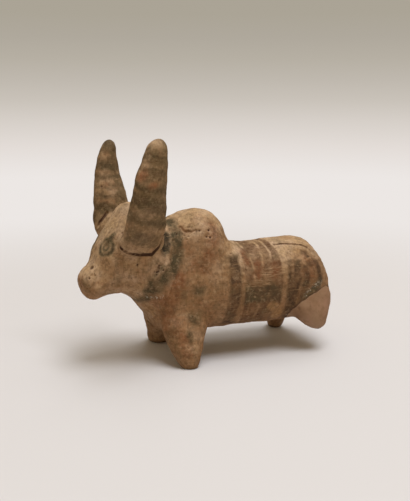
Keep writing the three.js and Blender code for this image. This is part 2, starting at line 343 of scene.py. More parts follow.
# The open crack under the left horn's lobe, and the same on the right
LOBE_CRACK = [
    (28.4, 11.0, 46.4),
    (26.9, 13.0, 44.2),
    (25.0, 12.9, 42.9),
    (20.6, 13.2, 42.3),
    (16.4, 13.1, 41.9),
    (14.9, 13.2, 43.4),
    (13.4, 13.6, 45.0),
    (11.8, 14.6, 50.0),
]
INNER_CRACK = [(27.2, 11.9, 48.0), (25.0, 11.6, 51.0), (22.8, 11.2, 53.8)]  # at a horn's front edge
RUMP_CRACK = [
    (25.7, -5.6, 40.7),
    (29.9, -5.8, 40.7),
    (34.0, -6.3, 40.4),
    (36.5, -6.9, 40.0),
    (38.0, -8.0, 39.3),
]
LEG_CRACK = [(-21.0, -12.4, 21.5), (-19.9, -13.4, 18.6), (-18.4, -14.4, 16.0)]
HUMP_GOUGE = [(-11.8, -7.6, 49.8), (-11.5, -8.7, 48.9), (-10.4, -9.7, 48.2), (-9.4, -9.9, 48.4)]
HUMP_STREAK = [(-0.6, -8.4, 51.2), (0.3, -9.4, 49.2), (0.6, -10.5, 47.2), (-0.6, -11.9, 45.0)]
HUMP_SCRATCH = [(-10.6, -10.4, 47.2), (-8.6, -10.4, 48.0), (-7.0, -10.2, 48.6)]
# A crack's line, half its width and its depth
HEAD_CRACKS = [(LOBE_CRACK, 0.8, 1.2), (INNER_CRACK, 0.7, 0.8)]
BODY_CRACKS = [
    (RUMP_CRACK, 0.6, 0.7),
    (LEG_CRACK, 0.6, 0.35),
    (HUMP_GOUGE, 1.0, 0.7),
    (HUMP_SCRATCH, 0.9, 0.5),
    (HUMP_STREAK, 0.9, 0.35),
]
CRACK_UNEVENNESS = 0.22  # share by which the width varies
CRACK_NOISE = {"size": 1.6, "seed": 11}
NOSTRIL = (34.7, 2.6, 37.3)  # on the head
NOSTRIL_RADIUS = 1.2
NOSTRIL_DEPTH = 0.6

# Pits that the photograph shows: middle and radius
NAMED_PITS = [
    ((-41.5, -10.9, 37.6), 0.6),
    ((-37.6, -12.0, 31.9), 0.6),
    ((-24.3, -14.7, 35.5), 0.5),
    ((-26.5, -14.8, 38.0), 0.5),
    ((-29.5, -14.5, 38.6), 0.6),
    ((-8.1, -13.1, 40.1), 0.5),
    ((-27.3, -23.0, 55.9), 0.6),
]
RANDOM_PITS = 90
# Clusters of small pits: middle, spread and number
PIT_CLUSTERS = [
    ((-22.3, -14.4, 36.4), 1.7, 26),
    ((-10.6, -9.4, 48.4), 1.7, 12),
    ((-45.8, -8.6, 34.0), 2.0, 7),
    ((-30.0, -14.6, 39.4), 2.4, 8),
    ((0.0, -10.6, 47.0), 1.8, 7),
]
PIT_SIZES = (0.36, 0.68)
PIT_SEED = 7
PIT_STEEPNESS = 0.6  # depth as a share of the radius
SOLE_LEVEL = 0.0


def strewn_pits(points):
    """Small pits in the clay: where each one is and its radius."""
    dice = np.random.default_rng(PIT_SEED)
    pits = list(NAMED_PITS)
    places = [points[index] for index in dice.integers(0, len(points), RANDOM_PITS)]
    for middle, spread, number in PIT_CLUSTERS:
        places += list(dice.normal(middle, spread, (number, 3)))
    for place in places:
        nearest = points[np.argmin(np.linalg.norm(points - place, axis=1))]
        pits.append((nearest, dice.uniform(*PIT_SIZES)))
    return pits


def pit_marks(points, pits):
    """How far inside a pit each point lies, up to the pit's radius."""
    inside = np.zeros(len(points))
    for place, size in pits:
        near = np.flatnonzero(np.all(np.abs(points - place) < size, axis=1))
        away = np.linalg.norm(points[near] - place, axis=1)
        inside[near] = np.maximum(inside[near], size * groove(away, size))
    return inside


def crack_marks(points, spread=0.0):
    """How deep the cracks, gouges and nostrils go at each point. A spread widens them."""
    on_head = head_places(points)
    widening = 1 + CRACK_UNEVENNESS * noise_at(points, **CRACK_NOISE)
    depth = np.zeros(len(points))
    for places, cracks in ((on_head, HEAD_CRACKS), (points, BODY_CRACKS)):
        for line, half_width, deepest in cracks:
            width = half_width * widening + spread
            depth = np.maximum(depth, deepest * groove(distance_to_line(places, line), width))
    from_nostril = np.linalg.norm(on_head - NOSTRIL, axis=1)
    return np.maximum(depth, NOSTRIL_DEPTH * groove(from_nostril, NOSTRIL_RADIUS + spread))


def hand_marks(points):
    """How far the surface stands out from the smooth shape."""
    height = np.zeros(len(points))
    for amount, size, seed in PRESSING:
        height += amount * noise_at(points, size, seed)
    for places, forms in ((head_places(points), HEAD_FORMS), (points, BODY_FORMS)):
        for line, rise, reach in forms:
            height += rise * groove(distance_to_line(places, line), reach)
    return height


def finish_skin(skin, pits):
    points = read_points(skin.data)
    normals = read_normals(skin.data)
    depth = np.maximum(crack_marks(points), PIT_STEEPNESS * pit_marks(points, pits))
    points += normals * (hand_marks(points) - depth)[:, None]
    points[:, 2] = np.maximum(points[:, 2], SOLE_LEVEL)
    write_points(skin.data, points)


# Cutting the skin into its pieces

# How far each lump grows to cut its piece out of the skin, in this order. The head comes last.
CUT_GROWTH = {
    "left_horn": 0.9,
    "right_horn": 0.9,
    "hump": 1.0,
    "left_foreleg": 1.0,
    "right_foreleg": 1.0,
    "right_hind_leg": 1.0,
}
HEAD_CUT_GROWTH = 2.5
# The break of the left hind corner: a point on it, how it slopes and how rough it is
BREAK_POINT = (18.97, -12.51, 10.2)
BREAK_SLOPE = math.radians(29)  # rises towards the rump
BREAK_DIP = math.radians(36)  # falls towards the animal's right
BREAK_BLOCK = 100  # the side of the block below the break
BREAK_CELLS = 100
BREAK_ROUGHNESS = [(0.5, 3.2), (0.25, 1.3)]  # height and size of each layer of noise
SHARP_ANGLE = math.radians(50)


def boolean(item, cutter, operation):
    return baked(item, "BOOLEAN", object=cutter, operation=operation, solver="MANIFOLD")


def split_off(skin, cutter, name):
    """Takes the part of the skin inside the cutter away as its own piece."""
    piece = add_object(boolean(skin, cutter, "INTERSECT"), name)
    rest = boolean(skin, cutter, "DIFFERENCE")
    old = skin.data
    skin.data = rest
    bpy.data.meshes.remove(old)
    drop(cutter)
    return piece


def region(node, grow):
    return add_object(mesh_of(lump(node, grow), node + "_region"), node + "_region")


def break_turn():
    return Euler((-BREAK_DIP, -BREAK_SLOPE, 0)).to_matrix()


def break_distance(points):
    """How far each point lies from the surface of the break, on either side."""
    upwards = np.array(break_turn() @ Vector((0, 0, 1)))
    return np.abs((points - BREAK_POINT) @ upwards)


def broken_corner():
    """A block whose rough top is the surface of the break."""
    shape = bmesh.new()
    bmesh.ops.create_grid(shape, x_segments=BREAK_CELLS, y_segments=BREAK_CELLS, size=BREAK_BLOCK / 2)
    for vertex in shape.verts:
        vertex.co.z = sum(height * noise.noise(vertex.co / size) for height, size in BREAK_ROUGHNESS)
    sides = bmesh.ops.extrude_face_region(shape, geom=shape.faces[:])
    lowered = [part for part in sides["geom"] if isinstance(part, bmesh.types.BMVert)]
    for vertex in lowered:
        vertex.co.z = -BREAK_BLOCK
    bmesh.ops.recalc_face_normals(shape, faces=shape.faces)
    turn = break_turn()
    for vertex in shape.verts:
        vertex.co = (turn @ vertex.co + Vector(BREAK_POINT)) * MM
    return add_object(mesh_of(shape, "broken_corner"), "broken_corner")


def cut_pieces(skin):
    """Cuts the skin into one closed piece per CAD node. What is left at the end is the torso."""
    pieces = {}
    for node, grow in CUT_GROWTH.items():
        pieces[node] = split_off(skin, region(node, grow), node + "_clay")
    pieces["left_hind_filler"] = split_off(skin, broken_corner(), "left_hind_filler_plaster")
    pieces["head"] = split_off(skin, region("head", HEAD_CUT_GROWTH), "head_clay")
    skin.name = "torso_clay"
    pieces["torso"] = skin
    return pieces


def connected_parts(shape):
    """The shape's vertices, by connected part."""
    left = set(shape.verts)
    parts = []
    while left:
        front = [left.pop()]
        part = list(front)
        while front:
            for edge in front.pop().link_edges:
                found = [vertex for vertex in edge.verts if vertex in left]
                left.difference_update(found)
                front += found
                part += found
        parts.append(part)
    return parts


def drop_crumbs(mesh):
    """Removes what the cutting left loose: everything but the largest connected part."""
    shape = bmesh.new()
    shape.from_mesh(mesh)
    for part in sorted(connected_parts(shape), key=len)[:-1]:
        bmesh.ops.delete(shape, geom=part, context="VERTS")
    shape.to_mesh(mesh)
    shape.free()


def shade(mesh):
    for polygon in mesh.polygons:
        polygon.use_smooth = True
    mesh.set_sharp_from_angle(angle=SHARP_ANGLE)


# Paint. Each paint's attribute is how far inside its strokes a point lies, in millimetres.

RING_LEVEL = 27  # half the torso's height
RING_BOTTOM = 12.5
# Where the dark rings round the torso begin and end at half height, how much they lean with height and how
# high they reach
DARK_RINGS = [(4.3, 9.2, 0.1, 38.5), (27.0, 33.6, 0.0, 35.6)]
BROAD_RING = (10.0, 25.4, 0.0, FAR)
BROAD_RING_LOW = (21.4, 27.6)  # the broad ring is darker between these heights
SPINE = 1.0  # the line of the back, from side to side
# Bare lines between the bands and inside them
BARE_LINES = [
    ([(5.5, -8.4, 44.7), (6.5, -10.2, 39.2)], 0.5),
    ([(4.1, -15.3, 28.3), (4.5, -15.2, 21.4), (4.1, -11.7, 15.0)], 0.35),
    ([(10.8, SPINE, 41.2), (10.6, -4.8, 40.8), (9.9, -11.7, 36.9), (9.9, -15.1, 28.3)], 0.85),
    ([(9.9, -15.1, 28.3), (8.8, -15.0, 21.0), (7.7, -11.2, 14.4)], 0.8),
    ([(12.6, SPINE, 41.2), (12.7, -4.0, 40.5), (14.2, -11.7, 35.8), (14.3, -14.6, 29.8)], 0.42),
    ([(19.4, SPINE, 41.4), (19.3, -5.0, 40.3), (18.5, -10.5, 37.2), (18.2, -12.7, 34.3)], 0.4),
    ([(21.8, SPINE, 41.4), (21.8, -4.9, 40.6), (22.1, -9.4, 38.7), (21.8, -11.3, 36.8)], 0.36),
    ([(25.0, SPINE, 41.6), (25.4, -5.9, 40.5), (26.5, -9.6, 38.5), (26.8, -13.4, 34.2)], 0.9),
    ([(26.8, -13.4, 34.2), (26.1, -15.3, 28.3), (25.4, -14.8, 21.7), (25.7, -11.4, 15.9)], 0.95),
    ([(29.4, SPINE, 41.6), (29.7, -6.5, 40.4), (30.8, -9.8, 38.2)], 0.42),
    ([(30.8, -9.8, 38.2), (30.1, -12.6, 35.3), (29.3, -14.8, 30.1)], 0.42),
    ([(33.7, -12.8, 34.5), (33.3, -14.8, 28.3), (32.2, -14.7, 24.7), (31.9, -13.6, 19.4)], 0.42),
    ([(31.9, -13.6, 19.4), (30.8, -10.8, 14.8)], 0.42),
    ([(16.0, -14.6, 19.8), (14.9, -12.2, 15.2)], 0.4),
    ([(12.1, -15.1, 21.4), (11.7, -13.7, 17.7)], 0.3),
]
RIGHT_SIDE_SHIFT = (0.6, 2.0, 0)  # takes the mirrored lines to the right side
ORANGE_GAP = [(21.3, -14.2, 19.4), (24.2, -13.4, 17.6), (24.8, -10.2, 14.4)]  # bare, low in the broad ring
ORANGE_GAP_REACH = 2.1
UMBER_STROKES = [
    ([(34.9, -13.7, 32.3), (35.0, -14.8, 28.3), (34.2, -14.6, 23.8)], 1.5),
    ([(36.9, -13.2, 33.8), (39.7, -12.6, 34.3), (40.6, -13.6, 31.5), (40.6, -14.6, 27.9)], 1.2),
    ([(35.5, -9.5, 38.2), (36.9, -11.3, 36.5)], 0.8),
    ([(38.2, -11.5, 36.0), (38.6, -11.9, 35.5)], 0.5),
]
# On the head: brown stains at the horns' roots and under their lobes
HEAD_UMBER_STROKES = [
    ([(25.6, 10.2, 51.4), (24.2, 9.2, 53.8)], 1.5),
    ([(27.6, 12.2, 45.4), (25.6, 13.3, 42.4), (22.4, 13.4, 41.0)], 0.5),
]
# Dark smudges on the shoulder and the left foreleg
SMUDGES = [
    ([(-7.2, -15.1, 27.9), (-7.6, -15.1, 27.1)], 1.6),
    ([(-9.9, -15.8, 18.3), (-8.7, -15.6, 17.1)], 1.9),
    ([(-12.0, -17.8, 13.0), (-11.4, -18.0, 10.6)], 0.8),
    ([(-11.6, -16.6, 5.4), (-9.4, -16.8, 2.2)], 1.6),
]
SOLE_SOIL_AND_SHADE_HEIGHT = 0.5  # the soles' edges are darkened up to here, as soil and painted contact shade
# The chipped brown rim at the stub's tip and outer edge, partly painted shade along its lower and outer
# contour
RIM_AND_EDGE_SHADE_STROKES = [([(46.6, -9.8, 16.0), (45.4, -10.9, 12.0), (43.6, -12.0, 9.8), (41.2, -13.2, 8.6)], 1.1)]
# Pale crust under the throat and at the belly's end of the break, and pale flecks on the glossy patch that
# are painted glints
CRUST_AND_GLINT_STROKES = [
    ([(-25.8, -11.0, 25.8), (-22.9, -12.2, 25.6), (-20.4, -13.5, 26.3)], 0.5),
    # painted glints: pale flecks on the glossy patch, in the next two strokes
    ([(38.0, -15.0, 26.0), (40.0, -15.0, 26.9)], 0.6),
    ([(34.8, -14.4, 22.4), (36.4, -14.7, 24.4)], 0.5),
    ([(28.0, -9.8, 13.6), (31.5, -10.8, 14.8)], 0.2),
]
GLOSS_STROKES = [([(40.3, -14.9, 26.8), (37.6, -14.7, 23.7), (34.6, -13.9, 20.4)], 1.5)]
RUST_STROKES = [
    ([(-14.8, -14.4, 32.0), (-15.7, -14.9, 29.3), (-18.1, -14.6, 25.6)], 3.1),
    ([(-22.6, -11.6, 25.2), (-20.0, -13.2, 20.8), (-17.6, -14.9, 15.2)], 3.2),
    ([(-0.5, -8.9, 50.3), (0.5, -10.6, 47.6), (-0.8, -12.3, 44.3)], 1.9),
    ([(-11.6, -8.6, 48.9), (-10.4, -9.7, 48.2), (-8.1, -9.8, 49.0)], 0.4),
    ([(-2.4, -13.0, 40.5), (-4.9, -14.4, 35.6), (-8.0, -14.0, 37.0)], 2.0),
    ([(-13.6, -17.0, 12.5), (-12.6, -18.0, 6.0)], 1.8),
    ([(36.2, -11.4, 36.6), (38.8, -12.8, 34.0), (37.6, -14.0, 30.0)], 1.8),
    ([(16.4, -12.0, 35.3), (16.0, -14.0, 31.4)], 1.5),
    ([(11.6, -8.0, 39.4), (12.6, -11.8, 35.8)], 1.2),
    ([(22.8, -13.0, 34.0), (22.6, -14.4, 30.6)], 1.6),
    ([(34.8, -13.8, 31.5), (37.0, -14.6, 26.8)], 1.6),
]
# Warm yellowish clay where the paint is worn through: low in the broad ring and on the rump
OCHRE_STROKES = [(ORANGE_GAP, 1.9), ([(33.0, -9.8, 38.2), (36.8, -11.0, 37.0)], 2.0)]
# Fine scratches along the side
SCRATCHED_STROKES = [
    ([(18.5, -14.2, 31.8), (25.0, -14.0, 32.4)], 1.6),
    ([(11.5, -15.0, 28.4), (19.5, -15.0, 28.8)], 1.0),
]

# On the head: the grey-green collar, from the nape over the hollow and down round the throat
COLLAR_STROKES = [
    ([(4.8, 2.5, 51.2), (5.0, 8.4, 48.7), (6.1, 11.6, 43.4), (7.3, 12.5, 37.8), (9.6, 13.0, 34.4)], 2.1),
    (HOLLOW, 2.3),
    ([(9.6, 13.0, 34.4), (12.3, 13.1, 31.4), (15.2, 11.5, 27.8), (17.2, 8.0, 25.2), (18.0, 2.0, 24.3)], 1.7),
    ([(11.7, 13.1, 35.1), (15.2, 12.7, 31.1), (16.5, 11.1, 28.1)], 2.4),
]
RIDGE_BARE = 0.5  # the collar's ridge is rubbed bare this far on either side
# Painted shade darkens the hollow
HOLLOW_SHADE = [(HOLLOW, 1.7)]
EYE = (30.2, 5.3, 44.4)
EYE_RADIUS = 3.4
EYE_RINGS = [(0.68, 1.0), (0.16, 0.44)]  # the outer ring's edges and the pupil's, as shares of the radius
EYE_SHADE_MARGIN = 0.3
# The corner that the eye is drawn out to, and a brow line of which only specks are left
EYE_STROKES = [
    ([(27.5, 5.8, 48.6), (29.2, 5.6, 46.6)], 1.0),
    ([(30.9, 1.3, 45.4), (29.8, 2.2, 47.4), (27.6, 4.6, 49.6), (26.0, 5.3, 51.4), (24.4, 4.9, 53.6)], 0.0),
]
# On the head: where each horn's brown wash is worn through to the pink clay
HORN_BARE_STROKES = {
    "left_horn": [
        ([(23.8, 21.0, 69.7), (22.4, 21.9, 73.0)], 1.7),
        ([(20.2, 22.6, 66.8), (18.6, 22.4, 67.4)], 1.5),
        ([(21.2, 20.6, 58.4), (19.2, 20.9, 58.0)], 1.6),
        ([(18.6, 20.2, 80.6), (17.4, 20.6, 78.0)], 2.2),
        ([(24.6, 18.8, 58.0), (22.0, 19.8, 56.6)], 1.2),
    ],
    "right_horn": [
        ([(21.8, 18.2, 73.3), (20.6, 17.8, 74.4)], 1.7),
        ([(23.4, 17.0, 68.2), (20.4, 15.4, 67.8)], 1.2),
        ([(24.0, 16.0, 64.0), (19.6, 14.2, 64.9)], 1.3),
        ([(24.4, 15.0, 61.0), (20.6, 13.0, 61.6)], 1.7),
        ([(24.6, 14.2, 57.6), (20.4, 12.2, 58.4)], 1.2),
        ([(25.4, 12.6, 48.0), (22.0, 10.8, 51.6)], 2.6),
    ],
}
HORN_RUST_STROKES = {
    "left_horn": [
        ([(24.0, 21.0, 69.6), (23.0, 21.6, 71.0)], 1.3),
        ([(20.4, 22.6, 66.4), (19.6, 22.4, 66.8)], 1.0),
    ],
    "right_horn": [([(21.4, 15.2, 63.4), (22.4, 15.4, 62.4)], 0.9)],
}
BARE_LOBE_TOP = 51.5  # the horns' lobes are bare below this height
WASH_FRONT = 26.4  # and their fronts are bare beyond this reach
# The middle and half the height of each dark band of a horn, and how much the bands lean
HORN_BANDS = {
    "left_horn": ([(76.4, 0.3), (71.4, 0.5), (65.4, 1.2), (60.2, 2.2), (54.4, 1.2)], 0.3),
    "right_horn": ([(78.8, 3.4), (70.6, 1.8), (66.4, 0.7), (62.9, 0.5), (59.4, 0.6), (55.2, 1.7)], 0.12),
}
HORN_AXIS = 20  # the reach at which the bands' heights are given
BAND_WAVE = 0.9
BAND_NOISE = {"size": 6, "seed": 21}
LOBE_SHADES = {
    "left_horn": ([(25.4, 16.6, 49.8), (21.8, 16.8, 48.3), (17.2, 16.0, 46.9)], 2.8),
    "right_horn": ([(27.4, 14.2, 54.6), (27.6, 14.6, 50.4)], 1.8),
}

# How pale the bare clay is, from 0 to 1: more where it faces up, which is partly dust and partly painted top
# light, and more or less on some lumps
WALL_PALENESS = 0.05
NODE_PALENESS = {
    "head": 0.4,
    "left_horn": 0.38,
    "right_horn": 0.0,
    "right_foreleg": 0.3,
    "right_hind_leg": -0.2,
    "left_hind_filler": 0.1,
}
MUZZLE_DULLNESS = 0.3
RUMP_DULLNESS = 0.3
RUMP_START = 27.0
DULLNESS_BLEND = 3.0
CRACK_DARK_SPREAD = 0.15  # how far the darkening spreads beyond a crack
DEEPEST = 9.0  # a paint's depth makes no difference beyond this


def ring(points, start, end, lean, top):
    height = points[:, 2]
    along = points[:, 0] - lean * (height - RING_LEVEL)
    return np.min([along - start, end - along, height - RING_BOTTOM, top - height], axis=0)


def bare_lines(points):
    mirrored = points * (1, -1, 1) + RIGHT_SIDE_SHIFT
    return np.maximum(strokes(points, BARE_LINES), strokes(mirrored, BARE_LINES))


def umber_paint(node, points):
    """The dark rings and strokes on the body, and the stains on the head."""
    if node == "head":
        return strokes(head_places(points), HEAD_UMBER_STROKES)
    if node not in ("torso", "hump"):
        return nowhere(points)
    inside = np.max([ring(points, *sizes) for sizes in DARK_RINGS], axis=0)
    inside = np.maximum(inside, strokes(points, UMBER_STROKES))
    return np.minimum(inside, -bare_lines(points))


def broad_paint(node, points):
    """The worn broad ring, of brown paint."""
    if node != "torso":
        return nowhere(points)
    inside = np.minimum(ring(points, *BROAD_RING), distance_to_line(points, ORANGE_GAP) - ORANGE_GAP_REACH)
    return np.minimum(inside, -bare_lines(points))


def low_shade(node, points):
    """The dark grey-green patch in the broad ring."""
    if node != "torso":
        return nowhere(points)
    low, high = BROAD_RING_LOW
    return np.min([broad_paint(node, points), high - points[:, 2], points[:, 2] - low], axis=0)


def from_eye(points):
    return np.linalg.norm(head_places(points) - EYE, axis=1)


def eye_paint(points):
    """An outer ring, a bare ring and a smaller ring round the pupil, drawn out to a corner above."""
    away = from_eye(points)
    drawn = [np.minimum(EYE_RADIUS * outer - away, away - EYE_RADIUS * inner) for inner, outer in EYE_RINGS]
    drawn.append(strokes(head_places(points), EYE_STROKES))
    return np.max(drawn, axis=0)


def horn_bands(node, points, on_head):
    bands, lean = HORN_BANDS[node]
    height = points[:, 2] - lean * (on_head[:, 0] - HORN_AXIS) + BAND_WAVE * noise_at(points, **BAND_NOISE)
    inside = np.max([half - np.abs(height - middle) for middle, half in bands], axis=0)
    return np.maximum(inside, strokes(on_head, [LOBE_SHADES[node]]))


def olive_paint(node, points):
    """The horns' dark bands, the collar and the glossy patch by the break."""
    on_head = head_places(points)
    if node in HORN_BANDS:
        return horn_bands(node, points, on_head)
    if node == "left_hind_filler":
        return nowhere(points)
    collar = np.minimum(strokes(on_head, COLLAR_STROKES), distance_to_line(on_head, NECK_RIDGE) - RIDGE_BARE)
    return np.maximum(collar, strokes(points, GLOSS_STROKES))


def horn_wash(node, points):
    """The brown wash over the horns, which is worn off in places."""
    if node not in HORN_BARE_STROKES:
        return nowhere(points)
    on_head = head_places(points)
    bare = strokes(on_head, HORN_BARE_STROKES[node])
    return np.min([-bare, on_head[:, 2] - BARE_LOBE_TOP, WASH_FRONT - on_head[:, 0]], axis=0)


def rust_paint(node, points):
    if node in HORN_RUST_STROKES:
        return strokes(head_places(points), HORN_RUST_STROKES[node])
    return strokes(points, RUST_STROKES)


def smudges(node, points):
    """Dark smudges, and the edges of the soles darkened as soil and painted contact shade."""
    marks = strokes(points, SMUDGES)
    return np.maximum(marks, SOLE_SOIL_AND_SHADE_HEIGHT - points[:, 2]) if node.endswith("leg") else marks


def skin_lookup(skin):
    """Finds the skin's own direction at a place, also along the cut edges of a piece."""
    points = read_points(skin.data)
    tree = KDTree(len(points))
    for index, point in enumerate(points):
        tree.insert(point, index)
    tree.balance()
    return tree, read_normals(skin.data)


def dust_and_painted_top_light(node, points, lookup):
    """How pale the bare clay is: rubbed, dusty and lit by painted top light where it faces up, and paler on
    the head.
    """
    tree, normals = lookup
    upwards = normals[[tree.find(point)[1] for point in points], 2]
    # paler where the skin faces up: dust, and painted top light
    pale = smooth_step(upwards + WALL_PALENESS) + NODE_PALENESS.get(node, 0)
    on_muzzle = smooth_step((head_places(points)[:, 0] - MUZZLE_ROOT[0]) / DULLNESS_BLEND)
    on_rump = smooth_step((points[:, 0] - RUMP_START) / DULLNESS_BLEND) * (node == "torso")
    return np.clip(pale - MUZZLE_DULLNESS * on_muzzle - RUMP_DULLNESS * on_rump, 0, 1)


def place_paint(node, piece, pits, lookup):
    points = read_points(piece.data)
    fields = {
        "umber": umber_paint(node, points),
        "broad": broad_paint(node, points),
        "low_shade": low_shade(node, points),
        "olive": olive_paint(node, points),
        "eye": eye_paint(points),
        "eye_shade": EYE_RADIUS + EYE_SHADE_MARGIN - from_eye(points),
        "wash": horn_wash(node, points),
        "rust": rust_paint(node, points),
        # painted shade in the hollow behind the horn's lobe
        "hollow": strokes(head_places(points), HOLLOW_SHADE),
        "gloss": strokes(points, GLOSS_STROKES),
        # dark smudges, and painted contact shade with soil at the soles' edges
        "smudge_and_sole_shade": smudges(node, points),
        # pale crust, and painted glints on the glossy patch
        "crust_and_glints": strokes(points, CRUST_AND_GLINT_STROKES),
        "ochre": strokes(points, OCHRE_STROKES),
        "scratched": strokes(points, SCRATCHED_STROKES),
        # brown chips, and painted shade along the stub's lower and outer edge
        "rim": strokes(points, RIM_AND_EDGE_SHADE_STROKES),
        "break_edge": break_distance(points),
        "crack_and_pit_depth": np.maximum(crack_marks(points, CRACK_DARK_SPREAD), pit_marks(points, pits)),
        # paleness: dust, and painted top light where the skin faces up
        "pale": dust_and_painted_top_light(node, points, lookup),
    }
    for name, values in fields.items():
        attribute = piece.data.attributes.new(name, "FLOAT", "POINT")
        attribute.data.foreach_set("value", np.clip(values, -DEEPEST, DEEPEST).astype(np.float32))


# Materials


class Spots(NamedTuple):
    """Spots made of noise, and the tone they give what is under them."""

    size: float  # in millimetres
    detail: float
    shift: float  # picks the noise
    start: float  # the noise's value where the spots begin
    full: float  # and where they are whole
    strength: float = 1.0
    tone: str = ""
    stretch: tuple = (1, 1, 1)  # how far they are drawn out along each axis


class Coat(NamedTuple):
    """A worn coat inside the strokes of an attribute: mostly paint, and in a few coats painted shade."""

    attribute: str
    tone: str
    opacity: float
    shift: float  # picks the noise
    soft: float  # half the width of its soft edge, in millimetres
    ragged: float = 2.4  # how far the edge wanders


COAT_EDGE = {"size": 1.5, "detail": 5}
# The spots where a coat is whole. Between them it is thinner by their strength.
WHOLE_SPOTS = [Spots(3.4, 6, 3, 0.34, 0.64, 0.55), Spots(0.7, 5, 6, 0.28, 0.64, 0.26)]
COAT_GAIN = 1.25  # makes up for the wear

CLAY_CLOUD = Spots(8, 6, 1, 0.38, 0.62)
PALE_PATCHES = {"size": 4, "detail": 5, "shift": 14}
PALE_PATCH_STRENGTH = 1.3
# Warm patches and faint brush streaks in the bare clay
CLAY_SPOTS = [
    Spots(5, 6, 15, 0.5, 0.68, 0.3, "96603A"),
    Spots(0.6, 3, 2, 0.45, 0.75, 0.3, "5E4024", stretch=(1, 1, 9)),
]
# Over the clay and its paint: grey-green clouds, grime, brush streaks, scratches, dust and dark specks
WEATHER_SPOTS = [
    Spots(5, 6, 60, 0.48, 0.68, 0.42, "5A4C30"),
    Spots(1.2, 6, 61, 0.42, 0.66, 0.45, "4E351E"),
    Spots(0.5, 3, 64, 0.5, 0.74, 0.3, "4E3A22", stretch=(1, 4, 12)),
    Spots(0.42, 2, 62, 0.56, 0.7, 0.3, "AC8860", stretch=(14, 1, 1)),
    Spots(1.3, 5, 63, 0.5, 0.74, 0.3, "C6A680"),
    Spots(0.8, 3, 5, 0.62, 0.7, 0.5, "3E2414"),
]
BREAK_STAIN_REACH = 0.9
BREAK_STAIN_FADE = 0.7
BREAK_STAIN = (0.6, "4E3524")
CRACK_DARK_DEPTHS = (0.06, 0.4)  # the darkening begins at the first depth of a crack or pit and is full at the second
CRACK_DARK_TONE = (0.92, "3A1C0E")
# Pale flecks: crust, and painted glints on the glossy patch
CRUST_AND_GLINT_FLECKS = Spots(0.55, 4, 30, 0.5, 0.6, 0.8, "C8BCA6")
FILLER_CRUST = CRUST_AND_GLINT_FLECKS._replace(shift=45)
CRUST_AND_GLINT_EDGE = (-0.6, 0.6)
SCRATCHES = Spots(0.3, 2, 33, 0.5, 0.62, 0.5, "BC9A72", stretch=(20, 1, 1))
SCRATCHED_EDGE = (-1.0, 0.8)
GLOSS_EDGE = (-0.3, 0.4)
CLAY_ROUGHNESS = 0.85
GLOSS = 0.6  # how much less rough the glossy patch is
FILLER_ROUGHNESS = 0.75
FINE_GRAIN = {"size": 0.35, "detail": 3, "shift": 8}
FINGER_STREAKS = {"size": 0.5, "detail": 2, "stretch": (8, 8, 1), "shift": 9}
RELIEF_HEIGHT = 0.09 * MM
CLAY_RELIEF = 0.9
FILLER_RELIEF = 0.3

# The tones of clouded bare clay, first as it is and then paler: rubbed and dusty, and lit by painted top
# light
BODY_TONES = [("8E6844", "967250"), ("BE9C74", "C6A686")]
HORN_TONES = [("967552", "A07E5C"), ("B4946E", "BC9C7C")]
BODY_COATS = [
    Coat("ochre", "A87C4C", 0.5, 32, soft=1.2),
    Coat("broad", "64442A", 0.86, 22, soft=0.4, ragged=0.7),
    Coat("rust", "7C4828", 0.68, 21, soft=1.9),
    Coat("low_shade", "4C3E28", 0.9, 23, soft=0.8, ragged=1.2),
    Coat("umber", "4C3520", 0.92, 24, soft=0.8, ragged=0.9),
    # dark smudges, and painted contact shade with soil at the soles' edges
    Coat("smudge_and_sole_shade", "443A22", 0.95, 29, soft=1.6),
    Coat("olive", "4A3F28", 1.1, 25, soft=1.5),
    # painted shade: near-black darkening in the hollow behind the horn's lobe
    Coat("hollow", "221E12", 1.1, 26, soft=1.0),
    Coat("eye_shade", "7A6C50", 0.5, 27, soft=0.8),
    Coat("eye", "4A422E", 0.95, 28, soft=0.45, ragged=0.8),
]
HORN_COATS = [
    Coat("wash", "625032", 0.74, 35, soft=1.4),
    Coat("rust", "A0562E", 0.6, 34, soft=1.0),
    Coat("olive", "40351F", 0.62, 31, soft=1.0, ragged=3.4),
]
FILLER_CLOUD = Spots(7, 5, 41, 0.35, 0.65)
FILLER_TONES = ("8C6A4E", "98785C")
# Dark specks, brown blotches and pink patches in the plaster
FILLER_SPOTS = [
    Spots(0.9, 2, 42, 0.62, 0.72, 0.4, "5E402C"),
    Spots(3.2, 6, 44, 0.5, 0.68, 0.35, "76563C"),
    Spots(5, 4, 46, 0.48, 0.66, 0.4, "A87E68"),
]
# a chipped brown rim, and painted shade along the stub's lower and outer edge
FILLER_RIM_AND_EDGE_SHADE = Coat("rim", "4E3420", 0.7, 43, soft=1.0, ragged=3.4)


def linear(hex_colour):
    """A colour written as sRGB hex, for a shader."""
    channels = [int(hex_colour[i : i + 2], 16) / 255 for i in (0, 2, 4)]
    return [c / 12.92 if c <= 0.04045 else ((c + 0.055) / 1.055) ** 2.4 for c in channels] + [1]


def feed(tree, item, inputs):
    """Sets a shader node's inputs. They are values, or sockets to link."""
    for key, value in inputs.items():
        if isinstance(value, bpy.types.NodeSocket):
            tree.links.new(value, item.inputs[key])
        else:
            item.inputs[key].default_value = value


def add(tree, kind, inputs=None, **settings):
    """Adds a shader node with its settings and inputs."""
    item = tree.nodes.new("ShaderNode" + kind)
    for key, value in settings.items():
        setattr(item, key, value)
    feed(tree, item, inputs or {})
    return item


def maths(tree, operation, first, second=0.0):
    return add(tree, "Math", {0: first, 1: second}, operation=operation).outputs[0]


def scaled(tree, value, factor, offset):
    return add(tree, "Math", {0: value, 1: factor, 2: offset}, operation="MULTIPLY_ADD").outputs[0]


